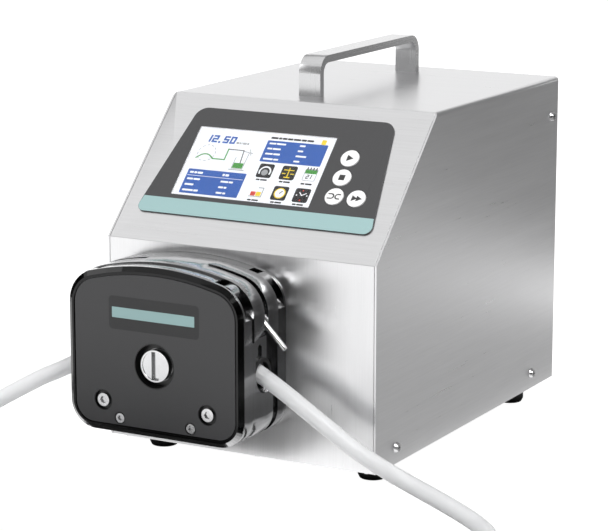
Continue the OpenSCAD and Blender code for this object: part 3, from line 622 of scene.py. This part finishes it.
def screen_diagram():
    """Hose round a roller circle, up and over into a beaker."""
    dashes = (arc(-43.4, 8.2, 7.2, 15 * k, 15 * k + 15, 3) for k in range(0, 24, 2))
    circle = [piece for dash in dashes for piece in stroke(dash, 0.45)]
    picture("circle", circle, GREY, 1)
    wave = [(-50.4, 3.2)] + arc(-43.4, 0.2, 7.0, 140, 50, 8) + [(-36.5, 3.6), (-26.5, 3.6), (-26.5, 13.1)]
    picture("hose", stroke(wave, 1.0), GREEN, 2)
    picture("over", stroke([(-26.5, 13.1), (-13.6, 13.1), (-12.4, 1.5)], 0.7), DARK, 1)
    picture("beaker", stroke([(-17.6, 6.5), (-18.0, -3.2), (-9.0, -3.2), (-8.4, 11.4)], 0.55), GREY, 1)
    picture("filling", [[(-17.6, -2.8), (-9.4, -2.8), (-9.2, 1.8), (-17.4, 1.8)]], GREEN, 2)
    picture("stand", stroke([(-19.6, -4.3), (-7.4, -4.3)], 0.7), GREY, 1)
    valve = stroke([(-13.0, 12.4), (-5.5, 11.2)], 0.55) + stroke([(-8.6, 14.4), (-6.6, 9.6)], 0.55)
    picture("valve", valve, GREY, 1)


def screen_panels():
    picture("panel_low", [rounded(-27.6, -17.6, 48.8, 21.6, 0.8)], BLUE, 1)
    picture("panel_high", [rounded(27.2, 14.7, 49.9, 19.0, 0.8)], BLUE, 1)
    rows = text_row(-50.0, -9.8, (3.2, 2.4, 4.4), 1.8) + text_row(-22.4, -9.8, (2.0, 3.0), 2.0)
    low_rows = (
        (-15.6, (5.0, 5.4), (6.4, 3.4)), (-20.6, (7.4,), (4.2, 2.2)), (-25.6, (9.0, 3.6), (5.0, 2.4)),
    )
    for y, words, value in low_rows:
        rows += text_row(-50.0, y, words, 1.6) + text_row(-21.6, y, value, 1.6)
    high_rows = (
        (21.6, (5.6, 7.6), (4.6,)), (17.0, (4.0, 6.6), (4.4,)),
        (12.4, (6.2, 5.4), (8.6,)), (7.8, (8.0, 4.0), (4.8,)),
    )
    for y, words, value in high_rows:
        rows += text_row(4.4, y, words, 1.5) + text_row(29.6, y, value, 1.5)
    picture("rows", rows, WHITE, 2)
    picture("rule", stroke([(-51.0, -12.5), (-4.5, -12.5)], 0.35), WHITE, 2)
    picture("title", text_row(4.0, 26.6, (5.8, 2.6, 3.8, 4.4, 6.0, 4.2, 5.4), 1.6), DARK, 1)
    picture("mark", [rounded(47.6, 26.4, 3.8, 4.2, 0.8)], YELLOW, 1)


ICON_X = (10.5, 29.5, 47.3)
ICON_Y = (-2.6, -20.6)
ICON_SIZE = 12.2


def screen_icons():
    squares = [rounded(x, y, ICON_SIZE, ICON_SIZE, 1.6) for x, y in (
        (ICON_X[0], ICON_Y[0]), (ICON_X[1], ICON_Y[0]), (ICON_X[1], ICON_Y[1]), (ICON_X[2], ICON_Y[1]))]
    picture("tiles", squares, DARK, 1)
    x, y = ICON_X[0], ICON_Y[0]
    picture("wheel", stroke(arc(x, y - 1, 4.4, -20, 200), 1.2), WHITE, 2)
    picture("knob", [disc(x, y - 1.6, 2.6)], GREY, 2)
    x, y = ICON_X[1], ICON_Y[0]
    scales = stroke([(x, y - 4), (x, y + 4)], 0.8) + stroke([(x - 3.8, y + 2.4), (x + 3.8, y + 2.4)], 0.8)
    for left, right in ((-4.6, -2.4), (2.4, 4.6)):
        scales += stroke([(x + left, y - 0.8), (x + right, y - 0.8)], 0.8)
    scales += stroke([(x - 2, y - 4), (x + 2, y - 4)], 0.9)
    picture("scales", scales, YELLOW, 2)
    x, y = ICON_X[2], ICON_Y[0]
    picture("calendar_edge", [rounded(x, y, 10.4, 10.4, 1.2)], GREY, 1)
    picture("calendar", [rounded(x, y - 0.3, 9.4, 9.0, 0.8)], WHITE, 2)
    picture("calendar_top", [rounded(x, y + 2.6, 9.4, 3.2, 0.4)], GREEN, 3)
    rings = [rounded(x - 3.6 + 2.4 * k, y + 5.4, 0.9, 2.2, 0.3, 2) for k in range(4)]
    date = digit(x - 2.4, y - 1.7, 1.6, 3.0, "2", 0.6) + stroke([(x + 1.6, y - 0.2), (x + 1.2, y - 3.2)], 0.6)
    picture("calendar_rings", rings + date, DARK, 3)
    x, y = ICON_X[0], ICON_Y[1]
    picture("flask", stroke([(x - 4.6, y - 4.8), (x + 5, y - 4.8), (x + 5, y + 3), (x + 1, y + 3)], 0.7), GREY, 1)
    picture("flask_red", [rounded(x - 2.2, y - 2.4, 4.0, 3.6, 0.5)], RED, 1)
    picture("flask_yellow", [rounded(x + 2.2, y - 2.4, 4.0, 3.6, 0.5)], YELLOW, 1)
    x, y = ICON_X[1], ICON_Y[1]
    picture("dial_rim", [disc(x, y, 4.6)], YELLOW, 2)
    picture("dial", [disc(x, y, 3.7)], WHITE, 3)
    picture("dial_hand", stroke([(x, y), (x + 1.6, y + 1.8)], 0.7), DARK, 4)
    x, y = ICON_X[2], ICON_Y[1]
    hands = stroke([(x - 2.2, y + 2.4), (x, y), (x + 3.2, y + 2.0)], 0.7)
    hands += [rounded(x - 4, y, 1.0, 1.0, 0.2), rounded(x + 4.4, y, 1.0, 1.0, 0.2)]
    picture("hands", hands, WHITE, 2)
    marks = [rounded(x, y + 4.2, 1.0, 1.2, 0.2), rounded(x, y - 4.2, 1.2, 1.2, 0.2)]
    picture("marks", marks, RED, 2)
    names = []
    for x in ICON_X:
        for y in ICON_Y:
            names += text_row(x - 4.6, y - 8.0, (3.0, 5.4), 1.3)
    picture("names", names, DARK, 1)


screen_reading()
screen_diagram()
screen_panels()
screen_icons()

# Keys: symbols ride on their own key
KEYS = {
    "start": (57.4, 86.0), "stop": (57.4, 69.0), "direction": (57.4, 52.5), "fast": (75.0, 52.5),
}
KEY_TOP = 1.8


def triangle(x, y, size):
    return [(x - size * 0.45, y - size * 0.55), (x + size * 0.6, y), (x - size * 0.45, y + size * 0.55)]


def key_symbol(name):
    if name == "start":
        return [triangle(0, 0, 5.0)]
    if name == "stop":
        return [rounded(0, 0, 4.6, 4.6, 0.3, 2)]
    if name == "fast":
        return [triangle(-1.6, 0, 4.4), triangle(2.0, 0, 4.4)]
    left = arc(-2.3, 0, 1.9, 90, -90)
    right = arc(2.9, 0, 1.9, 90, 270)
    return (stroke([(-4.6, 1.9)] + left + [(-4.6, -1.9)], 1.0) + stroke([(4.4, 1.9)] + right + [(4.4, -1.9)], 1.0))


for key, (x, v) in KEYS.items():
    place = SLOPE @ Matrix.Translation((x * MM, v * MM, 0))
    plates(f"symbol_{key}", key_symbol(key), place, KEY_TOP - 0.02, 0.04, KEY_PRINT, f"{key}_key")

# ---- Label on the head's face ----

LABEL_AT = (0.0, 35.5)


def head_label():
    x, z = LABEL_AT
    low = -0.32
    plates("label_patch", [rounded(x, z, 74, 24, 3)], FACE, low, 0.06, LABEL_PATCH, "housing")
    plates("label_strip", [rounded(-0.6, 35.7, 67.6, 7.6, 0.3, 2)], FACE, low + 0.05, 0.04, TEAL,
           "housing")


head_label()


def turned(name, profile, place, material, body, count=64):
    """A closed ring turned about the local Z axis from (radius, height) points in millimetres."""
    mesh = bmesh.new()
    rings = []
    for k in range(count):
        a = 2 * math.pi * k / count
        rings.append([mesh.verts.new((r * MM * math.cos(a), r * MM * math.sin(a), h * MM)) for r, h in profile])
    for a, b in zip(rings, rings[1:] + rings[:1]):
        for i in range(len(profile)):
            j = (i + 1) % len(profile)
            mesh.faces.new((a[i], b[i], b[j], a[j]))
    bmesh.ops.recalc_face_normals(mesh, faces=mesh.faces)
    mesh.transform(place)
    made = add_mesh(name, mesh, material)
    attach(made, body)
    return made


def recess_shade_linings():
    """Gloss-black rings on the walls of the round recess and of the screws' recesses in the head's face: painted
    shade inside the deep recesses.
    """
    # painted shade: these black rings stand in for the shade on the recess walls
    wall = [(16.2, 0), (16.2, -7.3), (11.9, -7.3), (11.9, -7.0), (15.6, -7.0), (15.6, 0)]
    turned("centre_recess_shade", wall, FACE, GLOSS_BLACK, "housing")
    for side in (-1, 1):
        for label, x, z, outer, inner in (("large", 43, -29.5, 7.4, 4.85), ("small", 29.2, -41.2, 4.45, 3.6)):
            place = FACE @ Matrix.Translation((side * x * MM, z * MM, 0))
            ring = [
                (outer, -0.6), (outer, -2.95), (inner, -2.95),
                (inner, -2.7), (outer - 0.3, -2.7), (outer - 0.3, -0.6),
            ]
            name = f"{label}_screw_recess_shade_{'left' if side < 0 else 'right'}"
            turned(name, ring, place, GLOSS_BLACK, "housing", 48)


recess_shade_linings()

# ---- Studio ----


def area_light(name, location, target, size, power):
    data = bpy.data.lights.new(name, "AREA")
    data.shape = "RECTANGLE"
    data.size, data.size_y = size
    data.energy = power
    light = bpy.data.objects.new(name, data)
    light.location = location
    light.rotation_mode = "QUATERNION"
    light.rotation_quaternion = (Vector(target) - Vector(location)).to_track_quat("-Z", "Y")
    bpy.context.scene.collection.objects.link(light)
    return light


def card(name, location, target, size, material):
    """A flat studio card that faces target and isn't part of the object."""
    mesh = bmesh.new()
    w, h = size[0] / 2, size[1] / 2
    mesh.faces.new([mesh.verts.new(p) for p in ((-w, -h, 0), (w, -h, 0), (w, h, 0), (-w, h, 0))])
    made = add_mesh(name, mesh, material)
    made.location = location
    made.rotation_mode = "QUATERNION"
    made.rotation_quaternion = (Vector(target) - Vector(location)).to_track_quat("Z", "Y")
    return made


def hide_from_camera(made):
    made.visible_camera = False
    return made


def studio():
    white = plain("studio_floor", (0.35, 0.35, 0.35), 0.9, Emission_Color=(1, 1, 1, 1), Emission_Strength=1.0)
    black = plain("black_card", (0.004, 0.004, 0.004), 0.95)
    mesh = bmesh.new()
    half = 6.0
    mesh.faces.new([mesh.verts.new(p) for p in (
        (-half, -half, 0), (half, -half, 0), (half, half, 0), (-half, half, 0))])
    add_mesh("floor", mesh, white)

    dim = plain("dim_card", (0.02, 0.02, 0.02), 0.9, Emission_Color=(1, 1, 1, 1), Emission_Strength=0.2)
    grey_card = plain("grey_card", (0.02, 0.02, 0.02), 0.9, Emission_Color=(1, 1, 1, 1), Emission_Strength=0.4)

    hide_from_camera(card("flag_right", (1.0, 0.62, 0.42), (1.0, 0.0, 0.42), (1.6, 0.84), dim))
    for name, x, y, z, size, material in (
        ("card_right_floor", 0.93, 0.13, 0.0006, (1.6, 0.64), grey_card),
        ("flag_front_floor", 0.57, -1.0, 0.0006, (1.0, 1.6), black),
    ):
        hide_from_camera(card(name, (x, y, z), (x, y, 1.0), size, material))
    hide_from_camera(card("flag_front", (0.95, -1.8, 0.8), (0.2, 0.0, 0.3), (1.8, 1.6), black))
    # painted shadow: black sheets on the floor near the head and under the housing, where the bright floor shows
    # no shadow
    for name, x, y, z, size in (
        ("painted_shadow_near_floor", -0.145, -0.26, 0.0007, (0.33, 0.17)),
        ("painted_shadow_under", 0.0, 0.03, 0.0006, (0.23, 0.30)),
    ):
        hide_from_camera(card(name, (x, y, z), (x, y, 1.0), size, black))
    hide_from_camera(card("flag_left", (-0.75, -0.25, 0.22), (0.0, -0.25, 0.22), (0.5, 0.44), black))

    world = bpy.data.worlds.new("studio")
    world.use_nodes = True
    world.node_tree.nodes["Background"].inputs["Color"].default_value = (1, 1, 1, 1)
    world.node_tree.nodes["Background"].inputs["Strength"].default_value = 0.35
    bpy.context.scene.world = world

    area_light("overhead", (-0.6, -0.2, 1.7), (-0.5, -0.15, 0), (2.2, 2.2), 9)
    hide_from_camera(area_light("back", (-1.5, 2.4, 0.95), (0, 0, 0.2), (3.6, 1.6), 15))
    area_light("left", (-1.5, -0.9, 0.9), (0, 0, 0.1), (0.7, 1.0), 5)
    area_light("front", (0.9, -1.1, 1.5), (0, 0, 0.15), (0.9, 0.9), 30)
    view = bpy.context.scene.view_settings
    view.view_transform = "Standard"
    view.look = "None"
    view.exposure = 0.0


studio()
